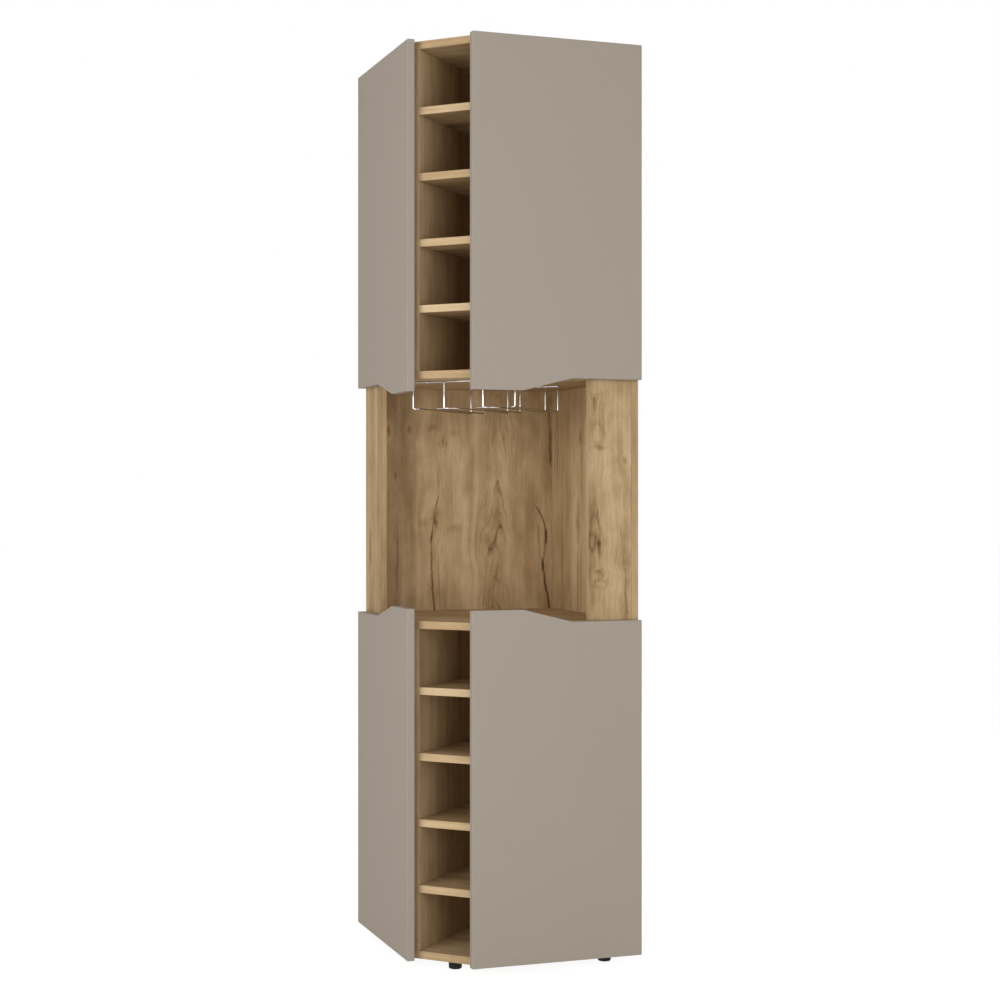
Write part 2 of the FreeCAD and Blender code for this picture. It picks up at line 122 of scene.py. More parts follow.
class Flow:
    """A number or a vector that flows through a node tree, with plain arithmetic on it."""

    def __init__(self, wiring: "Wiring", socket: NodeSocket) -> None:
        """Keeps the socket that it comes from and the wiring that uses it."""
        self.wiring = wiring
        self.socket = socket

    def __add__(self, other: Feed) -> "Flow":
        """Adds another flow or a constant."""
        return self.wiring.math("ADD", self, other)

    def __sub__(self, other: Feed) -> "Flow":
        """Subtracts another flow or a constant."""
        return self.wiring.math("SUBTRACT", self, other)

    def __rsub__(self, other: float) -> "Flow":
        """Is subtracted from a constant."""
        return self.wiring.math("SUBTRACT", other, self)

    def __mul__(self, other: Feed) -> "Flow":
        """Multiplies by another flow or a constant."""
        return self.wiring.math("MULTIPLY", self, other)

    def __truediv__(self, other: Feed) -> "Flow":
        """Divides by another flow or a constant."""
        return self.wiring.math("DIVIDE", self, other)

    def __abs__(self) -> "Flow":
        """Drops the sign."""
        return self.wiring.math("ABSOLUTE", self)


def is_vector(value: Feed) -> bool:
    """Tells a vector from a number."""
    return isinstance(value, tuple) or (isinstance(value, Flow) and value.socket.type == "VECTOR")


@dataclass(frozen=True)
class Waves:
    """One layer of noise: its waves per metre across and along the fibres, and its finer octaves."""

    across: float
    along: float
    octaves: float = 2.0
    roughness: float = 0.5


class Wiring:
    """Lays nodes into one node tree and links them."""

    def __init__(self, tree: NodeTree) -> None:
        """Keeps the tree that the nodes go into."""
        self.tree = tree

    def node(self, kind: str, **settings: Any) -> Node:
        """Adds a node.

        Args:
            kind: The node's type name.
            settings: Properties to set on it.

        Returns:
            The new node.
        """
        made = self.tree.nodes.new(kind)
        for name, value in settings.items():
            setattr(made, name, value)
        return made

    def feed(self, socket: NodeSocket, value: Feed) -> None:
        """Links a socket to what flows into it, or sets its value.

        Args:
            socket: The input socket.
            value: A flow, an output socket, or the value to set.
        """
        if isinstance(value, Flow):
            value = value.socket
        if isinstance(value, NodeSocket):
            self.tree.links.new(value, socket)
        else:
            socket.default_value = value

    def feed_each(self, node: Node, values: Sequence[Feed]) -> Flow:
        """Feeds a node's inputs in order.

        Args:
            node: The node.
            values: What its first inputs get.

        Returns:
            The node's first output.
        """
        for socket, value in zip(node.inputs, values):
            self.feed(socket, value)
        return Flow(self, node.outputs[0])

    def math(self, operation: str, *operands: Feed) -> Flow:
        """Adds a Math node, or a Vector Math node where an operand is a vector.

        Args:
            operation: The node's operation.
            operands: Numbers or vectors.

        Returns:
            The result.
        """
        kind = "ShaderNodeVectorMath" if any(map(is_vector, operands)) else "ShaderNodeMath"
        return self.feed_each(self.node(kind, operation=operation), operands)

    def parts(self, vector: Feed) -> tuple[Flow, ...]:
        """Splits a vector.

        Args:
            vector: The vector.

        Returns:
            Its three numbers.
        """
        made = self.node("ShaderNodeSeparateXYZ")
        self.feed(made.inputs[0], vector)
        return tuple(Flow(self, socket) for socket in made.outputs)

    def joined(self, across: Feed, through: Feed, along: Feed) -> Flow:
        """Joins three numbers into a vector."""
        return self.feed_each(self.node("ShaderNodeCombineXYZ"), (across, through, along))

    def noise(self, place: Flow, waves: Waves) -> Flow:
        """Adds a noise that is stretched along the fibres.

        Args:
            place: The coordinates, in metres.
            waves: Its waves and octaves.

        Returns:
            The noise value, about 0 to 1.
        """
        made = self.node("ShaderNodeTexNoise", noise_dimensions="3D")
        self.feed(made.inputs["Vector"], place * (waves.across, waves.across, waves.along))
        self.feed(made.inputs["Scale"], 1.0)
        self.feed(made.inputs["Detail"], waves.octaves)
        self.feed(made.inputs["Roughness"], waves.roughness)
        return Flow(self, made.outputs[0])

    def swing(self, place: Flow, waves: Waves) -> Flow:
        """Adds such a noise that swings about zero."""
        return self.noise(place, waves) - 0.5

    def span(self, value: Feed, low: Feed, high: Feed, start: float = 0.0, end: float = 1.0) -> Flow:
        """Maps a range smoothly and clamps it.

        Args:
            value: The value to map.
            low: Where the range starts.
            high: Where the range ends.
            start: Result at low.
            end: Result at high.

        Returns:
            The mapped value.
        """
        made = self.node("ShaderNodeMapRange", interpolation_type="SMOOTHSTEP", clamp=True)
        return self.feed_each(made, (value, low, high, start, end))

    def ramp(self, value: Feed, stops: Sequence[tuple[float, Colour]]) -> Flow:
        """Adds a colour ramp.

        Args:
            value: Where on the ramp.
            stops: Places and linear colours.

        Returns:
            The colour.
        """
        made = self.node("ShaderNodeValToRGB")
        bar = made.color_ramp.elements
        while len(bar) < len(stops):
            bar.new(0.5)
        for element, (place, colour) in zip(bar, stops):
            element.position = place
            element.color = opaque(colour)
        return self.feed_each(made, (value,))

    def tint(self, share: Feed, first: Flow, second: Colour) -> Flow:
        """Mixes a plain colour into another.

        Args:
            share: How much of the second.
            first: The colour that it goes into.
            second: The plain colour.

        Returns:
            The mixed colour.
        """
        made = self.node("ShaderNodeMix", data_type="RGBA", blend_type="MIX")
        self.feed(made.inputs[0], share)
        self.feed(made.inputs[6], first)
        self.feed(made.inputs[7], opaque(second))
        return Flow(self, made.outputs[2])

    def bump(self, height: Feed, strength: float, distance: float) -> Flow:
        """Adds a Bump node.

        Args:
            height: The height value.
            strength: Its strength.
            distance: Height in metres that a value of 1 stands for.

        Returns:
            The normal.
        """
        made = self.node("ShaderNodeBump")
        self.feed(made.inputs["Strength"], strength)
        self.feed(made.inputs["Distance"], distance)
        self.feed(made.inputs["Height"], height)
        return Flow(self, made.outputs[0])

    def placed(self, tree: NodeTree, **feeds: Feed) -> dict[str, Flow]:
        """Places a node group.

        Args:
            tree: The group.
            feeds: Values or flows for its named inputs.

        Returns:
            What comes out, by name.
        """
        made = self.node("ShaderNodeGroup", node_tree=tree)
        for name, value in feeds.items():
            self.feed(made.inputs[name], value)
        return {socket.name: Flow(self, socket) for socket in made.outputs}


class GroupSheet(Wiring):
    """A shader node group with named inputs and outputs; input names are split by kind."""

    def __init__(self, name: str, vectors: str, floats: str, outputs: Sequence[tuple[str, str]]) -> None:
        """Makes an empty group.

        Args:
            name: The group's name.
            vectors: Names of the vectors that go in.
            floats: Names of the numbers that go in.
            outputs: Names and socket kinds that come out.
        """
        super().__init__(bpy.data.node_groups.new(name, "ShaderNodeTree"))
        inputs = [(label, "Vector") for label in vectors.split()]
        inputs += [(label, "Float") for label in floats.split()]
        for side, rows in (("INPUT", inputs), ("OUTPUT", outputs)):
            for label, kind in rows:
                self.tree.interface.new_socket(label, in_out=side, socket_type="NodeSocket" + kind)
        sockets = self.node("NodeGroupInput").outputs
        self.given = tuple(Flow(self, sockets[label]) for label, _ in inputs)
        self.result = self.node("NodeGroupOutput").inputs

    def put(self, **values: Feed) -> None:
        """Feeds the group's outputs by name."""
        for name, value in values.items():
            self.feed(self.result[name], value)


GROWTH = (("Place", "Vector"), ("Halo", "Float"), ("Scar", "Float"))


@dataclass(frozen=True)
class OakTones:
    """Linear colours of the oak, from its dark streaks to its pale ones."""

    scar: Colour = linear(73, 53, 35)
    deep: Colour = linear(119, 94, 65)
    brown: Colour = linear(153, 126, 91)
    honey: Colour = linear(177, 149, 112)
    straw: Colour = linear(199, 173, 135)
    blonde: Colour = linear(213, 189, 152)

    def stops(self) -> tuple[tuple[float, Colour], ...]:
        """Gives the tones their places on the ramp.

        Returns:
            Places and linear colours.
        """
        places = (0.0, 0.20, 0.40, 0.56, 0.76, 1.0)
        tones = (self.scar, self.deep, self.brown, self.honey, self.straw, self.blonde)
        return tuple(zip(places, tones))


class Effects:
    """The shared surface effects, each one a node group, and the noise layers that they are made of."""

    SPLIT_DRIFT = Waves(3.0, 16.0, 3.0, 0.6)
    SPLIT_JITTER = Waves(3.0, 190.0)
    SPLIT_BREAKS = Waves(3.0, 58.0, 3.0, 0.65)
    RAGGED_EDGES = Waves(120.0, 42.0, 5.0, 0.7)
    CLEFTS = Waves(9.0, 0.9, 3.0)
    CLEFT_PATCHES = Waves(7.0, 2.4)
    WANDER = Waves(5.0, 1.4)
    RIPPLE = Waves(13.0, 7.0, 3.0, 0.55)
    RING_LIFT = Waves(26.0, 9.0, 4.0, 0.65)
    RING_PATCHES = Waves(16.0, 5.0, 3.0, 0.55)
    BROAD = Waves(9.0, 0.6)
    MIDDLE = Waves(36.0, 1.3, 3.0, 0.55)
    STREAKS = Waves(150.0, 2.6, 3.0, 0.6)
    CLOUDS = Waves(26.0, 11.0, 4.0, 0.6)
    FIBRES = Waves(800.0, 13.0, 2.0, 0.6)
    PORES = Waves(1500.0, 38.0, 1.0)
    HAZE = Waves(7.0, 4.0, 3.0)
    SPECKS = Waves(1100.0, 1100.0, 2.0, 0.6)
    PEEL = Waves(420.0, 420.0)
    KNOT_CELLS = (8.5, 3.0, 3.1)
    KNOT_SEEDING = (0.9, 0.4, 1.7)
    FIGURE_SEEDING = (3.17, 1.31, 7.7)
    RING_PITCH = 0.0062
    PORE_SHARE = 0.28
    SCAR_SHARE = 0.50

    def __init__(self) -> None:
        """Builds every group once."""
        self.knot_eye = self.build_knot_eye()
        self.split_line = self.build_split_line()
        self.stray_knots = self.build_stray_knots()
        self.oak_figure = self.build_oak_figure()
        self.fine_mottle = self.build_fine_mottle()

    def build_knot_eye(self) -> NodeTree:
        """Makes the group for one knot: it parts the fibres round itself and adds its halo, rim and core.

        A negative shade makes a pale eye with a dark rim. The pale rim round a knot and such a pale eye are
        partly the wood's pale figure and partly painted highlight, as on raised wood.

        Returns:
            The group.
        """
        g = GroupSheet("knot_eye", "Place Centre Size", "Ragged Halo Scar Parting Shade Core", GROWTH)
        place, centre, size, ragged, halo, scar, parting, strength, depth = g.given
        across, _, along = g.parts((place - centre) / size)
        sideways = across * across
        lengthways = along * along
        slope = across / g.math("SQRT", sideways + 1.0)
        fall = g.math("EXPONENT", sideways * -0.12 - lengthways)
        far = ragged * 2.0 + g.math("SQRT", sideways + lengthways)
        shade = g.span(far, 1.0, 0.0) * strength
        core = g.span(far, 0.22, 0.0) * depth
        # rim: a pale ring round the knot, partly pale figure and partly painted highlight.
        rim = g.span(far, 0.85, 1.15) * g.span(far, 2.2, 1.3)
        light = rim * strength * -0.5 + g.math("MINIMUM", shade, 0.0)
        g.put(
            Place=place - g.joined(slope * fall * parting, 0.0, 0.0),
            Halo=g.math("MAXIMUM", halo, shade) + light,
            Scar=g.math("MAXIMUM", scar, core))
        return g.tree

    def build_split_line(self) -> NodeTree:
        """Makes the group for one drying split, which wanders along the fibres and crowds them a little. The
        pale band beside it is partly the wood's pale figure and partly painted highlight, as on raised wood.

        Returns:
            The group.
        """
        g = GroupSheet("split_line", "Place Low High", "Halo Scar Bow Width Shade", GROWTH)
        place, low, high, halo, scar, bow, width, strength = g.given
        across, _, along = g.parts(place)
        low_across, _, low_along = g.parts(low)
        high_across, _, high_along = g.parts(high)
        share = (along - low_along) / (high_along - low_along)
        hump = share * (1.0 - share) * 4.0
        bowed = hump * bow + (share * (high_across - low_across) + low_across)
        line = g.joined(low_across, 0.0, along)
        slow = g.swing(line, self.SPLIT_DRIFT) * 0.010
        fast = g.swing(line, self.SPLIT_JITTER) * 0.0030
        side = across - (bowed + (slow + fast))
        off = abs(side)
        inside = g.span(share, 0.0, 0.20) * g.span(share, 1.0, 0.90)
        wide = width * g.span(g.noise(line, self.SPLIT_BREAKS), 0.36, 0.64, 0.05, 1.3) * inside
        gap = g.span(off, wide * 1.5, wide * 0.3) * g.span(wide, 0.0, 0.0003)
        # pale: a pale band beside the split, partly pale figure and partly painted highlight.
        pale = g.span(off, 0.003, 0.007) * g.span(off, 0.016, 0.008)
        shade = (pale * -0.55 + g.span(off, 0.0045, 0.0)) * inside * strength
        crowd = side / (side * side + 0.00004) * inside * 0.00001
        g.put(
            Place=place - g.joined(crowd, 0.0, 0.0),
            Halo=halo + shade,
            Scar=g.math("MAXIMUM", scar, gap))
        return g.tree

    def build_stray_knots(self) -> NodeTree:
        """Makes the group that strews small knots and short splits over a board.

        Returns:
            The group.
        """
        g = GroupSheet("stray_knots", "Place", "Seed Share", (*GROWTH, ("Ragged", "Float")))
        place, seed, share = g.given
        spot = place + seed * self.KNOT_SEEDING
        rough = g.noise(spot, self.RAGGED_EDGES)
        scaled = spot * self.KNOT_CELLS
        cells = g.node("ShaderNodeTexVoronoi", voronoi_dimensions="3D", feature="F1")
        g.feed(cells.inputs["Vector"], scaled)
        g.feed(cells.inputs["Scale"], 1.0)
        red, green, _ = g.parts(cells.outputs["Color"])
        distance = Flow(g, cells.outputs["Distance"])
        side, _, _ = g.parts(scaled - Flow(g, cells.outputs["Position"]))
        chosen = g.span(red, 1.0 - share, 1.03 - share)
        far = distance * (rough * 1.6 + 0.2)
        reach = green * 0.07 + 0.06
        fall = g.span(distance, reach * 4.5, 0.0)
        lean = side / g.math("SQRT", side * side + 0.006)
        core = g.span(far, reach * 0.55, reach * 0.15)
        cleft = g.span(abs(g.swing(spot, self.CLEFTS)), 0.0022, 0.0005)
        where = g.span(g.noise(spot, self.CLEFT_PATCHES), 0.66, 0.74, 0.0, 0.7)
        shift = fall * fall * (lean * chosen)
        g.put(
            Place=place - g.joined(shift * 0.007, 0.0, 0.0),
            Halo=g.span(far, reach * 1.7, 0.0) * (chosen * 0.8),
            Scar=g.math("MAXIMUM", core * chosen, cleft * where),
            Ragged=rough - 0.5)
        return g.tree

    def build_oak_figure(self) -> NodeTree:
        """Makes the oak itself: growth rings that crown over a heart line, streaks, fibres, pores and scars.

        Returns:
            The group.
        """
        g = GroupSheet(
            "oak_figure", "Place", "Seed Heart Rise Slope Rings Clouds Halo Scar Paleness",
            (("Color", "Color"), ("Roughness", "Float"), ("Height", "Float")))
        place, seed, heart, rise, slope, rings, clouds, halo, scar, paleness = g.given
        tones = OakTones()
        across, _, along = g.parts(place)
        spot = place + seed * self.FIGURE_SEEDING
        drift = g.swing(spot, self.WANDER) * 0.045 + g.swing(spot, self.RIPPLE) * 0.010
        combed = spot + g.joined(drift, 0.0, 0.0)
        away = drift + across - heart
        depth = g.math("SQRT", away * away + rise * rise)
        count = (g.swing(spot, self.RING_LIFT) * 0.022 + (depth - along * slope)) / self.RING_PITCH
        part = g.math("FRACT", count)
        which = g.node("ShaderNodeTexWhiteNoise", noise_dimensions="1D")
        g.feed(which.inputs["W"], g.math("FLOOR", count))
        late = g.span(part, 0.45, 0.92) * g.span(part, 1.0, 0.93)
        crown = g.span(halo, 0.02, 0.35) * 0.4 + g.span(abs(away), 0.060, 0.015, 0.06, 1.0)
        patch = g.span(g.noise(spot, self.RING_PATCHES), 0.38, 0.58, 0.25, 1.0)
        line = late * (Flow(g, which.outputs["Value"]) * 0.85 + 0.15) * (crown * patch * rings)
        fibre = g.swing(combed, self.FIBRES)
        pores = g.span(g.noise(combed, self.PORES), 0.63, 0.74)
        tone = g.swing(combed, self.BROAD) * 0.72 + 0.55
        for waves, strength in ((self.MIDDLE, 0.52), (self.STREAKS, 0.34), (self.CLOUDS, clouds)):
            tone = tone + g.swing(combed, waves) * strength
        for layer, strength in ((fibre, 0.20), (line, -0.24), (halo, -0.30)):
            tone = tone + layer * strength
        colour = g.ramp(tone + paleness, tones.stops())
        colour = g.tint(pores * self.PORE_SHARE, colour, tones.deep)
        colour = g.tint(scar * self.SCAR_SHARE, colour, tones.scar)
        height = fibre * 0.30 - pores * 0.5 + line * 0.25 - scar
        g.put(Color=colour, Roughness=line * 0.06 + (fibre * 0.10 + 0.60), Height=height)
        return g.tree

    def build_fine_mottle(self) -> NodeTree:
        """Makes the fine unevenness of sprayed, moulded or plated surfaces.

        Returns:
            The group.
        """
        g = GroupSheet("fine_mottle", "Place", "Cloud Speck", (("Shade", "Float"), ("Peel", "Float")))
        place, cloud, speck = g.given
        shade = g.swing(place, self.SPECKS) * speck + (g.swing(place, self.HAZE) * cloud + 1.0)
        g.put(Shade=shade, Peel=g.noise(place, self.PEEL))
        return g.tree


def blank_material(name: str) -> tuple[Material, Wiring, Node]:
    """Makes a material with only its Principled shader.

    Args:
        name: The material's name.

    Returns:
        The material, its wiring and the shader node.
    """
    material = bpy.data.materials.new(name)
    material.use_nodes = True
    return material, Wiring(material.node_tree), material.node_tree.nodes["Principled BSDF"]


@dataclass(frozen=True)
class Knot:
    """One knot: where it sits across and along the board, its reach, and how strongly it shows."""

    across: float
    along: float
    wide: float
    tall: float
    parting: float = 0.008
    halo: float = 0.6
    core: float = 0.8

    def feeds(self) -> dict[str, Feed]:
        """Gives what the knot's group needs to know."""
        return {"Centre": (self.across, 0.0, self.along), "Size": (self.wide, 1.0, self.tall),
                "Parting": self.parting, "Shade": self.halo, "Core": self.core}


@dataclass(frozen=True)
class Split:
    """One drying split between two places on the board."""

    low_across: float
    low_along: float
    high_across: float
    high_along: float
    bow: float = 0.0
    width: float = 0.0006
    halo: float = 0.35

    def feeds(self) -> dict[str, Feed]:
        """Gives what the split's group needs to know."""
        return {"Low": (self.low_across, 0.0, self.low_along),
                "High": (self.high_across, 0.0, self.high_along),
                "Bow": self.bow, "Width": self.width, "Shade": self.halo}


@dataclass(frozen=True)
class OakFinish:
    """Oak for one kind of board, with the knots and splits that it shows."""

    name: str
    grain: Grain
    seed: float
    heart: float = 0.0
    rise: float = 0.03
    slope: float = 0.05
    paleness: float = 0.0
    stray: float = 0.25
    rings: float = 0.6
    clouds: float = 0.36
    knots: tuple[Knot, ...] = ()
    splits: tuple[Split, ...] = ()
    specular: float = 0.06
    relief: float = 0.35
    relief_depth: float = 0.0003

    def make(self, effects: Effects) -> Material:
        """Makes the material.

        Args:
            effects: The shared node groups.

        Returns:
            The finished material.
        """
        material, w, shader = blank_material(self.name)
        turned = w.node("ShaderNodeMapping")
        w.feed(turned.inputs["Rotation"], self.grain.turn())
        w.feed(turned.inputs["Vector"], w.node("ShaderNodeTexCoord").outputs["Object"])
        grown = w.placed(effects.stray_knots, Place=turned.outputs[0], Seed=self.seed, Share=self.stray)
        ragged = grown.pop("Ragged")
        for split in self.splits:
            grown = w.placed(effects.split_line, **grown, **split.feeds())
        for knot in self.knots:
            grown = w.placed(effects.knot_eye, **grown, **knot.feeds(), Ragged=ragged)
        oak = w.placed(
            effects.oak_figure, **grown, Seed=self.seed, Heart=self.heart, Rise=self.rise, Slope=self.slope,
            Rings=self.rings, Clouds=self.clouds, Paleness=self.paleness)
        w.feed(shader.inputs["Base Color"], oak["Color"])
        w.feed(shader.inputs["Roughness"], oak["Roughness"])
        w.feed(shader.inputs["Normal"], w.bump(oak["Height"], self.relief, self.relief_depth))
        w.feed(shader.inputs["Specular IOR Level"], self.specular)
        return material


BACK_PANEL = OakFinish(
    "oak_back_panel", Grain.UPRIGHT_BACK, 2.0, heart=0.080, rise=0.010, slope=-0.12, stray=0.08, rings=1.4,
    clouds=0.65,
    knots=(
        Knot(0.067, 0.812, 0.024, 0.046, 0.016, 0.80, 0.9),
        Knot(0.073, 0.868, 0.024, 0.060, 0.006, 0.45, 0.0),
        Knot(0.094, 0.700, 0.016, 0.040, 0.010, 0.15, 0.0),
        Knot(-0.041, 1.036, 0.014, 0.030, 0.010, 0.85, 1.0),
        Knot(-0.062, 1.064, 0.022, 0.012, 0.000, 0.42, 0.0),
        Knot(-0.018, 1.054, 0.022, 0.013, 0.000, 0.40, 0.0),
        Knot(-0.058, 0.864, 0.015, 0.044, 0.011, 1.00, 1.0),
        Knot(-0.012, 0.850, 0.036, 0.015, 0.000, 0.46, 0.0),
        Knot(-0.078, 0.862, 0.024, 0.012, 0.000, 0.42, 0.0),
        Knot(0.100, 1.050, 0.013, 0.036, 0.010, 0.40, 0.4),
        Knot(-0.116, 1.060, 0.008, 0.014, 0.006, 0.5, 0.8),
        Knot(-0.147, 0.962, 0.008, 0.018, 0.006, 0.4, 0.8),
        Knot(-0.164, 1.057, 0.009, 0.015, 0.006, 0.6, 0.9)),
    splits=(
        Split(-0.057, 0.620, -0.068, 0.850, -0.002, 0.0007, 1.1),
        Split(-0.071, 0.810, -0.050, 0.925, -0.001, 0.0010, 0.9),
        Split(-0.050, 0.655, -0.056, 0.840, 0.002, 0.0004, 0.5),
        Split(-0.053, 0.895, -0.049, 1.000, -0.001, 0.0002, 0.25),
        Split(0.207, 0.975, 0.201, 1.115, 0.0, 0.0013, 0.7),
        Split(0.209, 0.630, 0.185, 0.790, 0.000, 0.0016, 1.2),
        Split(0.183, 0.745, 0.197, 0.850, 0.002, 0.0011, 0.8),
        Split(0.196, 0.805, 0.171, 0.900, 0.010, 0.0014, 1.1),
        Split(0.186, 0.740, 0.177, 0.865, 0.001, 0.0006, 0.5),
        Split(-0.143, 0.700, -0.142, 0.850, 0.0, 0.0003, 0.4)))
SIDE_PANEL = OakFinish(
    "oak_side_panel", Grain.UPRIGHT_SIDE, 5.0, heart=0.02, rise=0.02, slope=-0.08, stray=0.10, rings=0.4,
    paleness=-0.02,
    knots=(
        Knot(0.050, 1.040, 0.016, 0.026, 0.010, 0.55, 0.5),
        Knot(0.064, 0.862, 0.016, 0.045, 0.009, 0.5, 0.3)),
    splits=(
        Split(0.066, 0.660, 0.067, 0.806, 0.0, 0.0006, 0.5),
        Split(0.066, 0.812, 0.062, 0.920, 0.003, 0.0006, 0.5)))
RIGHT_POST = OakFinish(
    "oak_right_post", Grain.UPRIGHT_BACK, 8.0, heart=0.172, rise=0.012, slope=-0.10, stray=0.08, rings=0.25,
    clouds=0.7, paleness=-0.07,
    # Knots with a negative halo are pale eyes: partly pale figure and partly painted highlight.
    knots=(
        Knot(0.142, 0.822, 0.007, 0.030, 0.006, 0.9, 0.9),
        Knot(0.133, 0.852, 0.006, 0.022, 0.004, -0.8, 0.0),
        Knot(0.131, 0.828, 0.005, 0.012, 0.004, -0.8, 0.0),
        Knot(0.131, 1.130, 0.006, 0.022, 0.004, -0.8, 0.0),
        Knot(0.142, 1.012, 0.024, 0.007, 0.000, 0.6, 0.0),
        Knot(0.138, 1.040, 0.009, 0.016, 0.006, -0.7, 0.0),
        Knot(0.140, 0.770, 0.008, 0.008, 0.004, 0.7, 0.8),
        Knot(0.144, 0.746, 0.010, 0.006, 0.004, -0.8, 0.0),
        Knot(0.138, 1.116, 0.010, 0.020, 0.008, 0.25, 0.3),
        Knot(0.172, 0.941, 0.014, 0.022, 0.010, 0.25, 0.0),
        Knot(0.147, 0.762, 0.012, 0.016, 0.009, 0.4, 0.5),
        Knot(0.196, 0.788, 0.010, 0.016, 0.008, 0.5, 0.7),
        Knot(0.196, 0.988, 0.006, 0.010, 0.005, 0.4, 0.7)),
    splits=(
        Split(0.141, 0.745, 0.137, 0.900, 0.004, 0.0006, 0.5),
        Split(0.132, 0.735, 0.133, 0.805, 0.0, 0.0006, 0.5),
        Split(0.200, 0.672, 0.197, 0.785, 0.0, 0.0007, 0.5),
        Split(0.131, 1.080, 0.133, 1.120, 0.0, 0.0006, 0.4)))
LEFT_POST = OakFinish(
    "oak_left_post", Grain.UPRIGHT_SIDE, 11.0, heart=0.16, stray=0.08, paleness=-0.03, rings=0.3,
    knots=(Knot(0.190, 0.815, 0.012, 0.045, 0.006, 0.5, 0.3),))
CASE_BOARD = OakFinish(
    "oak_case_board", Grain.LEVEL_COLUMN, 14.0, heart=0.30, slope=0.02, stray=0.2, paleness=0.10)
BAND_SEEDS = {Grain.UPRIGHT_PARTITION: 23.0, Grain.LEVEL_COLUMN: 21.0}


def edge_band(name: str, grain: Grain, paleness: float) -> OakFinish:
    """Gives the even oak of an edge band.

    Args:
        name: The finish's name.
        grain: How the fibres lie.
        paleness: How much paler than plain oak.

    Returns:
        The finish.
    """
    return OakFinish(name, grain, BAND_SEEDS[grain], heart=0.4, slope=0.02, paleness=paleness, stray=0.0)


@dataclass(frozen=True)
class MottledFinish:
    """A sprayed, moulded or plated finish with a fine unevenness."""

    name: str
    colour: Colour
    roughness: float
    metallic: float = 0.0
    specular: float = 0.5
    cloud: float = 0.03
    speck: float = 0.03
    peel: float = 0.15
    peel_depth: float = 0.00005

    def make(self, effects: Effects) -> Material:
        """Makes the material.

        Args:
            effects: The shared node groups.

        Returns:
            The finished material.
        """
        material, w, shader = blank_material(self.name)
        place = w.node("ShaderNodeTexCoord").outputs["Object"]
        mottle = w.placed(effects.fine_mottle, Place=place, Cloud=self.cloud, Speck=self.speck)
        shade = mottle["Shade"]
        w.feed(shader.inputs["Base Color"], shade * self.colour)
        w.feed(shader.inputs["Roughness"], shade * self.roughness)
        w.feed(shader.inputs["Normal"], w.bump(mottle["Peel"], self.peel, self.peel_depth))
        w.feed(shader.inputs["Metallic"], self.metallic)
        w.feed(shader.inputs["Specular IOR Level"], self.specular)
        return material


LACQUER = MottledFinish("lacquer_taupe_matt", linear(163, 152, 140), 0.70, specular=0.10)
CHROME = MottledFinish("chrome_bright", (0.56, 0.56, 0.55), 0.10, metallic=1.0, peel=0.03)
STEEL = MottledFinish("steel_plated", (0.62, 0.62, 0.63), 0.30, metallic=1.0, cloud=0.06, speck=0.05)
PLASTIC = MottledFinish(
    "plastic_moulded_black", (0.007, 0.007, 0.0075), 0.55, specular=0.2, cloud=0.1, speck=0.2)
BEECH = MottledFinish("beech_dowel", linear(204, 170, 128), 0.6, cloud=0.1, speck=0.15)
COVER_CAP = MottledFinish("oak_tone_cap", linear(176, 148, 111), 0.55, specular=0.2, cloud=0.1, speck=0.08)
RUBBER = MottledFinish("rubber_bumper", (0.02, 0.02, 0.02), 0.7, specular=0.2, cloud=0.1, speck=0.2)


@dataclass(frozen=True)
class Case:
    """One of the two closed cases: its hinge and bumper heights, the cut of its bottle column's oak, and how
    pale that oak is made; the lower case's partitions are painted paler than the upper ones as painted light.
    """

    name: str
    hinge_heights: tuple[float, ...]
    bumper_heights: tuple[float, ...]
    seed: float
    paleness: float


CASES = (
    # paleness: the lower case's partitions are painted paler than the upper ones, as painted light.
    Case("lower", hinge_heights=(0.115, 0.580), bumper_heights=(0.0275, 0.6675), seed=41.0, paleness=0.13),
    Case("upper", hinge_heights=(1.240, 1.705), bumper_heights=(1.1525, 1.7925), seed=51.0, paleness=0.04))


def dress(node: str, *materials: Material) -> Object:
    """Gives a CAD node its materials.

    Args:
        node: The node's name.
        materials: The materials, in slot order.

    Returns:
        The node's object.
    """
    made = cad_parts[node]
    made.data.materials.clear()
    for material in materials:
        made.data.materials.append(material)
    LOG.info("dressed %s in %s", node, ", ".join(m.name for m in materials))
    return made


def band_edges(made: Object, *facings: Point) -> None:
    """Puts a board's banded edges into its second material slot.

    Args:
        made: The board.
        facings: The directions that those edges face.
    """
    directions = [Vector(facing).normalized() for facing in facings]
    for face in made.data.polygons:
        face.material_index = int(any(face.normal.dot(direction) > SAME_FACING for direction in directions))


def stand(name: str, data: ID) -> Object:
    """Puts a mesh, lamp or camera into the scene.

    Args:
        name: The object's name.
        data: What it shows.

    Returns:
        The object, at the origin.
    """
    made = bpy.data.objects.new(name, data)
    bpy.context.scene.collection.objects.link(made)
    return made


def mesh_of(bm: BMesh, name: str, material: Material) -> Mesh:
    """Turns a worked mesh into a finished one.

    Args:
        bm: The worked mesh, which is freed.
        name: The new mesh's name.
        material: Its finish.

    Returns:
        The mesh.
    """
    mesh = bpy.data.meshes.new(name)
    bm.to_mesh(mesh)
    bm.free()
    mesh.materials.append(material)
    return mesh


def vertices(geometry: Sequence[Any]) -> list[BMVert]:
    """Picks the vertices out of what an operator gives back."""
    return [item for item in geometry if isinstance(item, BMVert)]


def round_over(bm: BMesh, edges: Sequence[BMEdge], offset: float, segments: int) -> None:
    """Rounds edges over.

    Args:
        bm: The mesh.
        edges: The edges.
        offset: How far the rounding reaches.
        segments: In how many steps.
    """
    bmesh.ops.bevel(bm, geom=edges, offset=offset, offset_type="OFFSET", affect="EDGES", segments=segments,
                    profile=0.5, material=-1)


def swapped(point: Point) -> Point:
    """Mirrors a point or direction in the cabinet's diagonal."""
    return point[1], point[0], point[2]


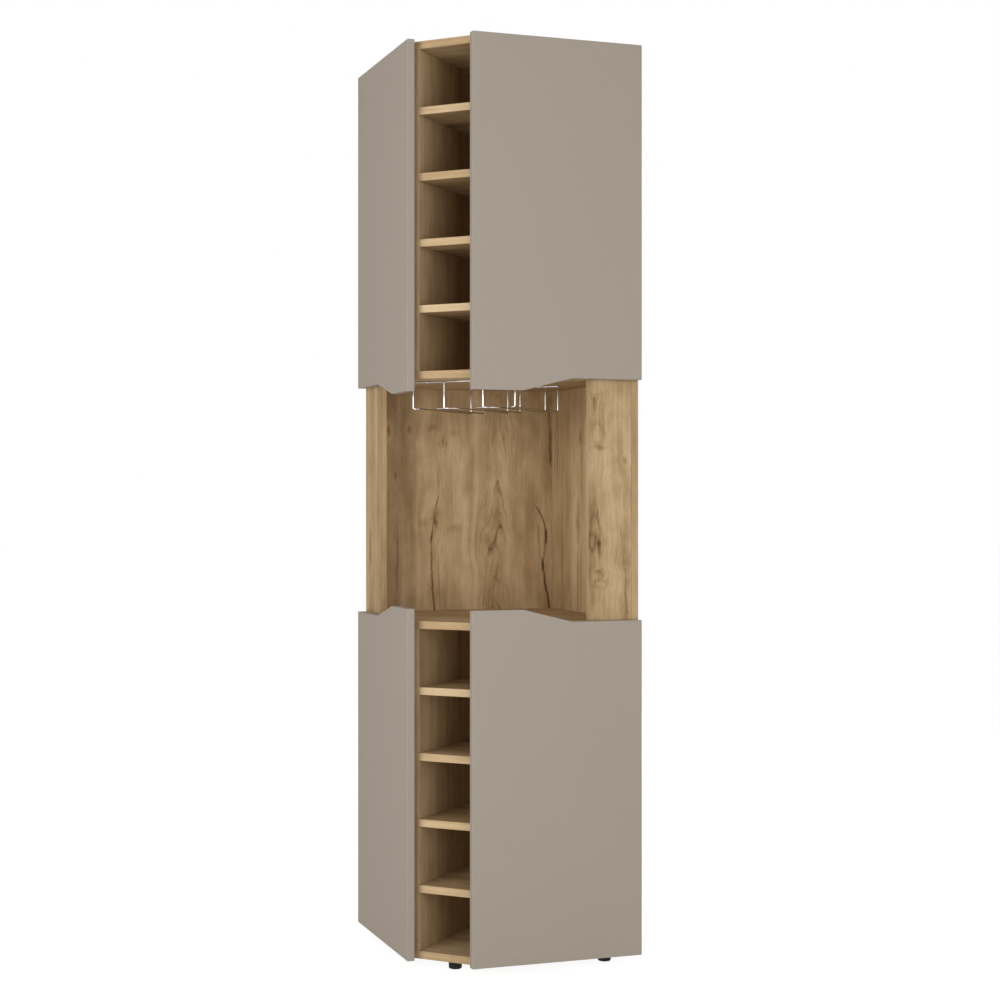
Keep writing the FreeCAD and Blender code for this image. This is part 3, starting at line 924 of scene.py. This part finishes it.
@dataclass(frozen=True)
class Spot:
    """Where a small fitting sits, the way it faces, and its turn about that way."""

    place: Point
    facing: Point
    turn: float = 0.0

    def matrix(self) -> Matrix:
        """Gives the transform that stands a fitting on this spot."""
        facing = Vector(self.facing).to_track_quat("Z", "Y").to_matrix().to_4x4()
        return Matrix.Translation(self.place) @ facing @ Matrix.Rotation(self.turn, 4, "Z")

    def twin(self) -> "Spot":
        """Gives the spot on the other side of the cabinet's diagonal."""
        return Spot(swapped(self.place), swapped(self.facing), -self.turn)


def twins(spots: Sequence[Spot]) -> list[Spot]:
    """Gives the spots on the other side of the cabinet's diagonal."""
    return [spot.twin() for spot in spots]


def on_diagonal(across: float, along: float, height: float) -> Point:
    """Turns a place across and along the footprint's diagonal into the row frame.

    Args:
        across: Distance to the right of the diagonal.
        along: Distance from the outer front corner.
        height: Height above the floor.

    Returns:
        The place in the row frame.
    """
    corner = CAD_BOX[0]
    return corner[0] + (along + across) * HALF_DIAGONAL, corner[1] + (along - across) * HALF_DIAGONAL, height


@dataclass(frozen=True)
class Fitting:
    """A small fitting that is shaped once and set on many spots."""

    radius: float
    height: float

    def shape(self, bm: BMesh) -> None:
        """Shapes one fitting that stands on the origin and faces +Z.

        Args:
            bm: The empty mesh to shape it in.
        """
        raise NotImplementedError

    def build(self, name: str, spots: Sequence[Spot], body: str, slot: str, material: Material) -> None:
        """Builds one piece that holds a fitting on every spot.

        Args:
            name: The piece's name.
            spots: Where the fittings sit.
            body: The body that it rides on.
            slot: Not used.
            material: Its finish.
        """
        bm = bmesh.new()
        self.shape(bm)
        pattern = [*bm.verts, *bm.edges, *bm.faces]
        for spot in spots:
            copied = bmesh.ops.duplicate(bm, geom=pattern)["geom"]
            bmesh.ops.transform(bm, matrix=spot.matrix(), verts=vertices(copied))
        bmesh.ops.delete(bm, geom=vertices(pattern), context="VERTS")
        bmesh.ops.recalc_face_normals(bm, faces=bm.faces)
        made = stand(name, mesh_of(bm, name, material))
        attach(made, body)
        LOG.info("built %s with %d fittings on %s", name, len(spots), body)


@dataclass(frozen=True)
class CrossScrew(Fitting):
    """A flat screw head with a cross recess."""

    recess: float
    cells: int = 5
    taper: float = 0.72
    edge: float = 0.4
    edge_steps: int = 2

    def shape(self, bm: BMesh) -> None:
        """Sinks the cross into a grid, rounds the grid to a disc and folds its rim down to the seat.

        Args:
            bm: The empty mesh to shape it in.
        """
        bmesh.ops.create_grid(bm, x_segments=self.cells, y_segments=self.cells, size=self.radius)
        cell = 2.0 * self.radius / self.cells
        arms = []
        for face in bm.faces:
            near, far = sorted(abs(value) for value in face.calc_center_median()[:2])
            if near < 0.5 * cell and far < 1.5 * cell:
                arms.append(face)
        sunk = vertices(bmesh.ops.extrude_face_region(bm, geom=arms)["geom"])
        bmesh.ops.delete(bm, geom=arms, context="FACES")
        bmesh.ops.translate(bm, vec=(0.0, 0.0, -self.recess), verts=sunk)
        bmesh.ops.scale(bm, vec=(self.taper, self.taper, 1.0), verts=sunk)
        for vert in bm.verts:
            across, deep = vert.co.x / self.radius, vert.co.y / self.radius
            vert.co.x *= math.sqrt(1.0 - 0.5 * deep * deep)
            vert.co.y *= math.sqrt(1.0 - 0.5 * across * across)
        rim = [edge for edge in bm.edges if edge.is_boundary]
        skirt = bmesh.ops.extrude_edge_only(bm, edges=rim)["geom"]
        bmesh.ops.translate(bm, vec=(0.0, 0.0, -self.height), verts=vertices(skirt))
        bmesh.ops.holes_fill(bm, edges=[edge for edge in bm.edges if edge.is_boundary], sides=0)
        round_over(bm, rim, self.edge * self.height, self.edge_steps)
        bmesh.ops.translate(bm, vec=(0.0, 0.0, self.height), verts=bm.verts)


@dataclass(frozen=True)
class RoundButton(Fitting):
    """A flat round button with a rolled edge, such as a cover cap or a door bumper."""

    roll: float
    roll_steps: int = 4
    sides: int = 32

    def shape(self, bm: BMesh) -> None:
        """Raises a disc and rolls its upper edge.

        Args:
            bm: The empty mesh to shape it in.
        """
        bmesh.ops.create_circle(bm, cap_ends=True, segments=self.sides, radius=self.radius)
        raised = vertices(bmesh.ops.extrude_face_region(bm, geom=list(bm.faces))["geom"])
        bmesh.ops.translate(bm, vec=(0.0, 0.0, self.height), verts=raised)
        rim = [edge for edge in bm.edges if all(vert in raised for vert in edge.verts)]
        round_over(bm, rim, self.roll, self.roll_steps)


@dataclass(frozen=True)
class WeldBead(Fitting):
    """The small bead of metal where two wires are welded."""

    fineness: int = 2

    def shape(self, bm: BMesh) -> None:
        """Flattens a small ball.

        Args:
            bm: The empty mesh to shape it in.
        """
        bmesh.ops.create_icosphere(bm, subdivisions=self.fineness, radius=self.radius)
        bmesh.ops.scale(bm, vec=(1.0, 1.0, self.height / self.radius), verts=bm.verts)


@dataclass
class Carcass:
    """The two wall panels, the four case boards and the niche posts."""

    effects: Effects
    cap: RoundButton = RoundButton(0.0062, 0.0009, 0.0006)
    board: float = 0.015
    cap_places: tuple[float, ...] = (-0.1325, 0.135)
    corner_heights: tuple[float, ...] = (0.130, 0.650, 1.170, 1.690)
    uprights: tuple[tuple[str, OakFinish, float, Point], ...] = (
        ("back_wall_panel", BACK_PANEL, 0.0, TO_LEFT), ("right_wall_panel", SIDE_PANEL, 0.14, TO_FRONT),
        ("niche_post_right", RIGHT_POST, -0.05, TO_LEFT), ("niche_post_left", LEFT_POST, -0.06, TO_FRONT))
    # Band paleness of each level: the counter board's band is painted paler than the others as painted light,
    # to brighten an edge that the lamps reach less.
    levels: tuple[tuple[str, float], ...] = (
        ("base_board", 0.09), ("counter_board", 0.22), ("upper_base_board", 0.09), ("top_board", 0.15))

    def dress(self) -> None:
        """Gives each board its own cut of oak and its edge band; the counter board's band is painted paler
        than the others as painted light.
        """
        for node, finish, paleness, facing in self.uprights:
            band = edge_band(f"oak_{node}_band", Grain.UPRIGHT_PARTITION, paleness).make(self.effects)
            band_edges(dress(node, finish.make(self.effects), band), facing)
        boards = CASE_BOARD.make(self.effects)
        for node, paleness in self.levels:
            band = edge_band(f"oak_{node}_band", Grain.LEVEL_COLUMN, paleness).make(self.effects)
            band_edges(dress(node, boards, band), TO_CORNER, TO_LEFT, TO_FRONT)

    def build_caps(self) -> None:
        """Builds the caps over the screws that hold the wall panels to the boards and to each other."""
        right, back, _ = CAD_BOX[1]
        on_boards = []
        for node, _ in self.levels:
            bottom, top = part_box(node)
            height = 0.5 * (bottom[2] + top[2])
            on_boards += [Spot((right, place, height), TO_RIGHT) for place in self.cap_places]
        corner = back - self.board / 2.0
        at_corner = [Spot((right, corner, height), TO_RIGHT) for height in self.corner_heights]
        spots = on_boards + twins(on_boards) + at_corner
        self.cap.build("panel_screw_caps", spots, "carcass", "oak_board", COVER_CAP.make(self.effects))


@dataclass
class BottleColumn:
    """One case's bottle column: two partitions, the thin back and the cubby shelves."""

    case: Case
    effects: Effects
    shelf_band: Material
    band_paleness: float = 0.05
    back_paleness: float = -0.25
    partition_heart: float = -0.12
    heart_step: float = 0.05
    shelves: int = 4

    def oak(self, piece: str, grain: Grain, step: float, **cut: float) -> Material:
        """Makes the oak of one piece.

        Args:
            piece: The piece's name within its case.
            grain: How its fibres lie.
            step: What is added to the column's seed.
            cut: Further values of the finish.

        Returns:
            The material.
        """
        finish = OakFinish(f"oak_{self.case.name}_{piece}", grain, self.case.seed + step, **cut)
        return finish.make(self.effects)

    def dress(self) -> None:
        """Gives the column's boards their oak."""
        name = self.case.name
        upright = edge_band(f"oak_{name}_partition_band", Grain.UPRIGHT_PARTITION, self.band_paleness)
        upright_band = upright.make(self.effects)
        for step, hand in enumerate(HANDS):
            heart = self.partition_heart + self.heart_step * step
            # The partitions' paleness comes from the case: painted light, paler in the lower case.
            oak = self.oak(
                f"partition_{hand}", Grain.UPRIGHT_PARTITION, step, heart=heart, slope=0.03, stray=0.30,
                paleness=self.case.paleness)
            band_edges(dress(f"{name}_partition_{hand}", oak, upright_band), TO_CORNER)
        back = self.oak("column_back", Grain.UPRIGHT_COLUMN, 3.0, stray=0.2, paleness=self.back_paleness)
        dress(f"{name}_column_back", back)
        level = self.oak("cubby_shelf", Grain.LEVEL_COLUMN, 4.0, heart=0.3, slope=0.02)
        for row in range(1, self.shelves + 1):
            band_edges(dress(f"{name}_bottle_shelf_{row}", level, self.shelf_band), TO_CORNER)


@dataclass
class Cupboard:
    """What stands behind the doors: the loose shelves on their pins."""

    effects: Effects
    shelf_band: Material
    steel: Material
    sides: tuple[tuple[str, Grain, float, Point], ...] = (
        ("right", Grain.LEVEL_RIGHT, 31.0, TO_FRONT), ("left", Grain.LEVEL_LEFT, 33.0, TO_LEFT))

    def dress(self) -> None:
        """Gives the loose shelves, their pins and the dowels their finishes."""
        for hand, grain, seed, facing in self.sides:
            oak = OakFinish(f"oak_loose_shelf_{hand}", grain, seed).make(self.effects)
            for case in CASES:
                band_edges(dress(f"{case.name}_shelf_{hand}", oak, self.shelf_band), facing)
        dress("shelf_pins", self.steel)
        dress("dowels", BEECH.make(self.effects))


@dataclass
class DoorLeaf:
    """One door with the hinge cups and pins that swing with it."""

    case: Case
    hand: str
    lacquer: Material
    steel: Material
    rubber: Material
    screw: CrossScrew = CrossScrew(0.0033, 0.0012, 0.0009)
    bumper: RoundButton = RoundButton(0.0045, 0.0020, 0.0012)
    wing_screw_in: float = 0.0265
    wing_screw_pitch: float = 0.024
    wing_seat: float = 0.016
    door_thickness: float = 0.015
    bumper_place: float = -0.086
    screw_turns: tuple[float, float] = (0.3, 0.8)

    def dress(self) -> None:
        """Gives the door and its hinge parts their finishes."""
        pieces = {"door": self.lacquer, "hinge_cups": self.steel, "hinge_pins": self.steel}
        for piece, material in pieces.items():
            dress(f"{self.case.name}_{piece}_{self.hand}", material)

    def build_fittings(self) -> None:
        """Builds the screws of the hinge cups and the bumpers that the door closes on."""
        low, high = CAD_BOX
        hinged = high[0] - self.wing_screw_in
        seat = low[1] + self.wing_seat
        screws = []
        for height in self.case.hinge_heights:
            for offset, turn in zip((-self.wing_screw_pitch, self.wing_screw_pitch), self.screw_turns):
                screws.append(Spot((hinged, seat, height + offset), TO_BACK, turn))
        back = low[1] + self.door_thickness
        bumpers = [Spot((self.bumper_place, back, height), TO_BACK) for height in self.case.bumper_heights]
        if self.hand == "left":
            screws, bumpers = twins(screws), twins(bumpers)
        body = f"{self.case.name}_{self.hand}_door"
        self.screw.build(f"{body}_cup_screws", screws, body, "zinc_steel", self.steel)
        self.bumper.build(f"{body}_bumpers", bumpers, body, "black_plastic", self.rubber)


@dataclass
class HingeSeats:
    """The hinge arms and plates inside the cases, with their screws."""

    steel: Material
    plate_screw: CrossScrew = CrossScrew(0.0036, 0.0013, 0.0010)
    adjuster: CrossScrew = CrossScrew(0.0030, 0.0006, 0.0005)
    plate_face: float = 0.0175
    plate_middle: float = 0.051
    plate_screw_pitch: float = 0.017
    plate_screw_turn: float = 0.4
    channel_face: float = 0.0275
    adjuster_places: tuple[float, ...] = (0.036, 0.066)
    adjuster_turn: float = 0.2

    def dress(self) -> None:
        """Gives the arms and plates their plated steel."""
        dress("hinge_arms", self.steel)
        dress("hinge_plates", self.steel)

    def build_fittings(self) -> None:
        """Builds the screws of the plates and the adjusting screws of the arms."""
        (_, front, _), (right, _, _) = CAD_BOX
        plates, adjusters = [], []
        heights = [height for case in CASES for height in case.hinge_heights]
        for index, height in enumerate(heights):
            for offset in (-self.plate_screw_pitch, self.plate_screw_pitch):
                place = (right - self.plate_face, front + self.plate_middle, height + offset)
                plates.append(Spot(place, TO_LEFT, self.plate_screw_turn * index))
            for depth in self.adjuster_places:
                place = (right - self.channel_face, front + depth, height)
                adjusters.append(Spot(place, TO_LEFT, self.adjuster_turn * index))
        for screw, name, spots in ((self.plate_screw, "hinge_plate_screws", plates),
                                   (self.adjuster, "hinge_adjusters", adjusters)):
            screw.build(name, spots + twins(spots), "carcass", "zinc_steel", self.steel)


@dataclass
class StemwareRack:
    """The bent wire rack under the upper case."""

    chrome: Material
    screw: CrossScrew = CrossScrew(0.0028, 0.0010, 0.0008)
    bead: WeldBead = WeldBead(0.0026, 0.0016)
    front: float = 0.174
    rear: float = 0.41319
    front_clip: float = 0.078
    riser: float = 0.0425
    rear_risers: tuple[float, ...] = (0.014, 0.071, 0.099)
    end_riser: float = 0.111
    ear_middle: float = 0.009
    ear_height: float = 1.1438
    weld_height: float = 1.1420
    rail_height: float = 1.0910
    screw_turn: float = 0.35
    wires: tuple[str, ...] = (
        "front_bar", "rear_bar", "loop_right", "loop_left", "end_right", "end_left", "clips")

    def dress(self) -> None:
        """Gives every wire and clip its chrome."""
        for wire in self.wires:
            dress(f"rack_{wire}", self.chrome)

    def build_fittings(self) -> None:
        """Builds the screws of the clips and the weld beads of the wires."""
        screws, beads = [], []
        clips = ((self.front_clip, self.front), (self.riser, self.rear))
        welds = [(self.riser, self.front, self.weld_height), (self.end_riser, self.front, self.weld_height),
                 (self.riser, self.front, self.rail_height)]
        welds += [(across, self.rear, self.weld_height) for across in self.rear_risers]
        for side in (-1.0, 1.0):
            for across, along in clips:
                place = on_diagonal(side * across, along + self.ear_middle, self.ear_height)
                screws.append(Spot(place, DOWNWARD, self.screw_turn * side))
            for across, along, height in welds:
                beads.append(Spot(on_diagonal(side * across, along, height), UPWARD))
        self.screw.build("rack_clip_screws", screws, "carcass", "chrome_wire", self.chrome)
        self.bead.build("rack_weld_beads", beads, "carcass", "chrome_wire", self.chrome)


@dataclass
class Studio:
    """The pale floor, the soft light and the camera at the photograph's angle."""

    ambient: float = 0.36
    floor_size: float = 30.0
    floor_grey: Colour = (0.78, 0.78, 0.78)
    floor_roughness: float = 0.9
    floor_glow: float = 0.93
    floor_shade: Colour = (0.20, 0.20, 0.20)
    lamps: tuple[tuple[str, float, float], ...] = (
        ("left_softbox", -56.0, 92.0), ("right_softbox", 6.0, 44.0), ("rear_softbox", 135.0, 60.0))
    lamp_side: float = 2.6
    lamp_reach: float = 3.9
    lamp_height: float = 1.20
    aim_height: float = 0.95
    eye: Point = (-1.2716, -3.5027, 0.910)
    gaze: Point = (0.32317, 0.94634, 0.0)
    sensor: float = 36.0
    lens: float = 65.97
    shift: float = 0.0405
    near_clip: float = 0.05
    far_clip: float = 200.0

    def build(self) -> None:
        """Builds the floor, the world, the lamps and the camera."""
        self.build_floor()
        self.build_world()
        self.build_lamps()
        self.build_camera()

    def show(self, w: Wiring, lit: Node, white: Node, output: str) -> None:
        """Lets one shader light the scene, and camera, mirror and see-through rays see the other.

        Args:
            w: The wiring of the floor's material or the world.
            lit: The shader that lights.
            white: The shader that is seen.
            output: The name of the output node.
        """
        path = w.node("ShaderNodeLightPath").outputs
        mirror = w.math("MAXIMUM", path["Is Camera Ray"], path["Is Glossy Ray"])
        seen = w.math("MAXIMUM", mirror, path["Is Transmission Ray"])
        chosen = w.feed_each(w.node("ShaderNodeMixShader"), (seen, lit.outputs[0], white.outputs[0]))
        w.feed(w.tree.nodes[output].inputs["Surface"], chosen)

    def build_floor(self) -> None:
        """Builds the floor, white to the eye with a faint shadow kept."""
        material, w, shader = blank_material("pale_floor")
        w.feed(shader.inputs["Base Color"], opaque(self.floor_grey))
        w.feed(shader.inputs["Roughness"], self.floor_roughness)
        glow = w.node("ShaderNodeEmission")
        w.feed(glow.inputs["Strength"], self.floor_glow)
        shade = w.node("ShaderNodeBsdfDiffuse")
        w.feed(shade.inputs["Color"], opaque(self.floor_shade))
        white = w.node("ShaderNodeAddShader")
        w.feed_each(white, (glow.outputs[0], shade.outputs[0]))
        self.show(w, shader, white, "Material Output")
        bm = bmesh.new()
        bmesh.ops.create_grid(bm, x_segments=1, y_segments=1, size=self.floor_size)
        stand("studio_floor", mesh_of(bm, "studio_floor", material))

    def build_world(self) -> None:
        """Builds the white surroundings, which light the object at a plain level."""
        world = bpy.data.worlds.new("studio_white")
        bpy.context.scene.world = world
        world.use_nodes = True
        w = Wiring(world.node_tree)
        light = world.node_tree.nodes["Background"]
        w.feed_each(light, (opaque(WHITE), self.ambient))
        white = w.node("ShaderNodeBackground")
        w.feed_each(white, (opaque(WHITE), 1.0))
        self.show(w, light, white, "World Output")

    def build_lamps(self) -> None:
        """Builds the large soft lamps: left and right of the camera, and behind the cabinet."""
        for name, azimuth, watts in self.lamps:
            lamp = bpy.data.lights.new(name, "AREA")
            lamp.shape = "SQUARE"
            lamp.size = self.lamp_side
            lamp.energy = watts
            made = stand(name, lamp)
            turn = math.radians(azimuth)
            reach = self.lamp_reach
            made.location = (reach * math.sin(turn), -reach * math.cos(turn), self.lamp_height)
            made.rotation_mode = "QUATERNION"
            aim = Vector((0.0, 0.0, self.aim_height)) - made.location
            made.rotation_quaternion = aim.to_track_quat("-Z", "Y")

    def build_camera(self) -> None:
        """Builds the camera where the photograph was taken from."""
        lens = bpy.data.cameras.new("photo_camera")
        lens.sensor_width = self.sensor
        lens.lens = self.lens
        lens.shift_x = self.shift
        lens.clip_start = self.near_clip
        lens.clip_end = self.far_clip
        camera = stand("photo_camera", lens)
        camera.location = self.eye
        camera.rotation_mode = "QUATERNION"
        camera.rotation_quaternion = Vector(self.gaze).to_track_quat("-Z", "Y")
        bpy.context.scene.camera = camera


def main() -> None:
    """Builds the finishes, the sub-assemblies and the studio in order."""
    logging.basicConfig(level=logging.INFO, format="%(name)s: %(message)s")
    bpy.context.scene.view_settings.view_transform = "Standard"
    effects = Effects()
    lacquer, chrome, steel, plastic, rubber = (
        finish.make(effects) for finish in (LACQUER, CHROME, STEEL, PLASTIC, RUBBER))
    shelf_band = edge_band("oak_shelf_band", Grain.LEVEL_COLUMN, 0.15).make(effects)
    carcass = Carcass(effects)
    carcass.dress()
    carcass.build_caps()
    for case in CASES:
        BottleColumn(case, effects, shelf_band).dress()
    Cupboard(effects, shelf_band, steel).dress()
    for case in CASES:
        for hand in HANDS:
            leaf = DoorLeaf(case, hand, lacquer, steel, rubber)
            leaf.dress()
            leaf.build_fittings()
    for group in (HingeSeats(steel), StemwareRack(chrome)):
        group.dress()
        group.build_fittings()
    dress("feet", plastic)
    Studio().build()


if __name__ == "__main__":
    main()
